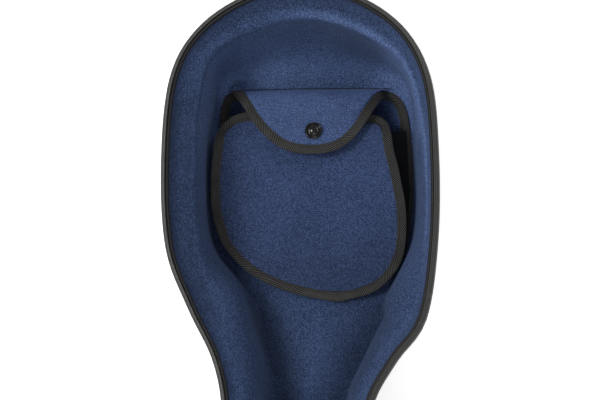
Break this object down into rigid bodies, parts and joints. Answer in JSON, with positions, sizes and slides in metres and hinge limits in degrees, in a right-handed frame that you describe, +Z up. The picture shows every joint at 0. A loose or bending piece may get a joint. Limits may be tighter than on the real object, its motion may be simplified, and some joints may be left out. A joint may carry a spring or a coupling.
{
  "type": "cello case",
  "caption": "Hard cello case lying open on its back, with a velour lining, a snap pocket in the head end, latches, a handle and wheels.",
  "frame": {"origin": "middle of the base's flat back, where the open case rests on the floor, at half its length", "axes": "+Z up out of the open base, +Y along the case towards the head end, +X towards the opened lid"},
  "size_m": [1.0559, 1.4312, 0.145],
  "materials": {
    "shell_plastic": "fine-grained moulded shell, satin black",
    "rim_aluminium": "extruded rim channel, dark grey, lightly brushed",
    "rubber": "black rubber",
    "blue_velour": "blue plush velour lining over foam",
    "blue_pad_velour": "blue plush velour on pads and pocket",
    "black_tape": "black twill tape and webbing",
    "hard_plastic": "moulded black plastic",
    "latch_steel": "plated steel hardware",
    "snap_enamel": "glossy black cap"
  },
  "bodies": {
    "base": {"base_shell": "shell_plastic", "base_rim": "rim_aluminium", "head_handle_grip": "rubber", "base_lining": "blue_velour", "lower_bout_pad_left": "blue_pad_velour", "lower_bout_pad_right": "blue_pad_velour", "upper_bout_pad_left": "blue_pad_velour", "upper_bout_pad_right": "blue_pad_velour", "neck_cradle": "blue_pad_velour", "endpin_block": "blue_pad_velour", "pocket_back": "blue_pad_velour", "pocket_front": "blue_pad_velour", "pocket_gusset": "black_tape", "pocket_front_binding": "black_tape", "pocket_back_binding": "black_tape", "head_handle_strap": "black_tape", "side_handle_plate": "hard_plastic", "wheel_housing_left": "hard_plastic", "wheel_housing_right": "hard_plastic", "hinge_base_leaf_1": "latch_steel", "hinge_base_leaf_2": "latch_steel", "hinge_base_leaf_3": "latch_steel", "latch_plate_head": "latch_steel", "latch_plate_upper": "latch_steel", "latch_plate_lower": "latch_steel", "latch_plate_bottom": "latch_steel", "snap_stud": "snap_enamel"},
    "lid": {"lid_shell": "shell_plastic", "lid_rim": "rim_aluminium", "lid_seal": "rubber", "lid_lining": "blue_velour", "hinge_lid_leaf_1": "latch_steel", "hinge_lid_leaf_2": "latch_steel", "hinge_lid_leaf_3": "latch_steel", "latch_keeper_head": "latch_steel", "latch_keeper_upper": "latch_steel", "latch_keeper_lower": "latch_steel", "latch_keeper_bottom": "latch_steel", "foot_left": "rubber", "foot_right": "rubber", "bow_rest": "blue_pad_velour", "bow_tip_sleeve": "blue_pad_velour"},
    "pocket_flap": {"pocket_flap": "blue_pad_velour", "pocket_flap_binding": "black_tape", "snap_cap": "snap_enamel"},
    "neck_strap": {"neck_strap": "black_tape"},
    "side_handle": {"side_handle_grip": "rubber"},
    "wheel_left": {"wheel_left": "rubber"},
    "wheel_right": {"wheel_right": "rubber"},
    "bow_spinner_left": {"bow_spinner_left": "hard_plastic"},
    "bow_spinner_right": {"bow_spinner_right": "hard_plastic"},
    "lever_head": {"latch_lever_head": "latch_steel"},
    "loop_head": {"latch_loop_head": "latch_steel"},
    "lever_upper": {"latch_lever_upper": "latch_steel"},
    "loop_upper": {"latch_loop_upper": "latch_steel"},
    "lever_lower": {"latch_lever_lower": "latch_steel"},
    "loop_lower": {"latch_loop_lower": "latch_steel"},
    "lever_bottom": {"latch_lever_bottom": "latch_steel"},
    "loop_bottom": {"latch_loop_bottom": "latch_steel"}
  },
  "joints": [
    {"name": "lid_hinge", "type": "hinge", "parent": "base", "child": "lid", "pos_m": [0.262, 0, 0.1405], "axis": [0, -1, 0], "range_deg": [0, 180]},
    {"name": "pocket_flap_hinge", "type": "hinge", "parent": "base", "child": "pocket_flap", "pos_m": [0.003, 0.575, 0.036], "axis": [1, 0, 0], "range_deg": [-84, 0]},
    {"name": "neck_strap_hinge", "type": "hinge", "parent": "base", "child": "neck_strap", "pos_m": [-0.035, 0.21, 0.0748], "axis": [0, 1, 0], "range_deg": [-90, 0]},
    {"name": "side_handle_hinge", "type": "hinge", "parent": "base", "child": "side_handle", "pos_m": [-0.23879, -0.24841, 0.1], "axis": [0.1524, 0.9883, 0], "range_deg": [0, 80]},
    {"name": "lever_head_hinge", "type": "hinge", "parent": "base", "child": "lever_head", "pos_m": [0, 0.678, 0.12], "axis": [-1, 0, 0], "range_deg": [-150, 0]},
    {"name": "loop_head_hinge", "type": "hinge", "parent": "lever_head", "child": "loop_head", "pos_m": [0, 0.678, 0.107], "axis": [1, 0, 0], "range_deg": [0, 184.6]},
    {"name": "lever_upper_hinge", "type": "hinge", "parent": "base", "child": "lever_upper", "pos_m": [-0.21773, -0.05934, 0.12], "axis": [-0.0752, -0.9972, 0], "range_deg": [-150, 0]},
    {"name": "loop_upper_hinge", "type": "hinge", "parent": "lever_upper", "child": "loop_upper", "pos_m": [-0.21773, -0.05934, 0.107], "axis": [0.0752, 0.9972, 0], "range_deg": [0, 184.6]},
    {"name": "lever_lower_hinge", "type": "hinge", "parent": "base", "child": "lever_lower", "pos_m": [-0.26319, -0.46007, 0.12], "axis": [0.0094, -1, 0], "range_deg": [-150, 0]},
    {"name": "loop_lower_hinge", "type": "hinge", "parent": "lever_lower", "child": "loop_lower", "pos_m": [-0.26319, -0.46007, 0.107], "axis": [-0.0094, 1, 0], "range_deg": [0, 184.6]},
    {"name": "lever_bottom_hinge", "type": "hinge", "parent": "base", "child": "lever_bottom", "pos_m": [0, -0.678, 0.12], "axis": [1, 0, 0], "range_deg": [-150, 0]},
    {"name": "loop_bottom_hinge", "type": "hinge", "parent": "lever_bottom", "child": "loop_bottom", "pos_m": [0, -0.678, 0.107], "axis": [-1, 0, 0], "range_deg": [0, 184.6]},
    {"name": "wheel_left_spin", "type": "hinge", "parent": "base", "child": "wheel_left", "pos_m": [-0.135, -0.693, 0.031], "axis": [1, 0, 0], "continuous": true},
    {"name": "wheel_right_spin", "type": "hinge", "parent": "base", "child": "wheel_right", "pos_m": [0.135, -0.693, 0.031], "axis": [1, 0, 0], "continuous": true},
    {"name": "bow_spinner_left_turn", "type": "hinge", "parent": "lid", "child": "bow_spinner_left", "pos_m": [0.459, -0.5, 0.064], "axis": [0, 0, 1], "range_deg": [0, 90]},
    {"name": "bow_spinner_right_turn", "type": "hinge", "parent": "lid", "child": "bow_spinner_right", "pos_m": [0.589, -0.5, 0.064], "axis": [0, 0, 1], "range_deg": [0, 90]}
  ]
}
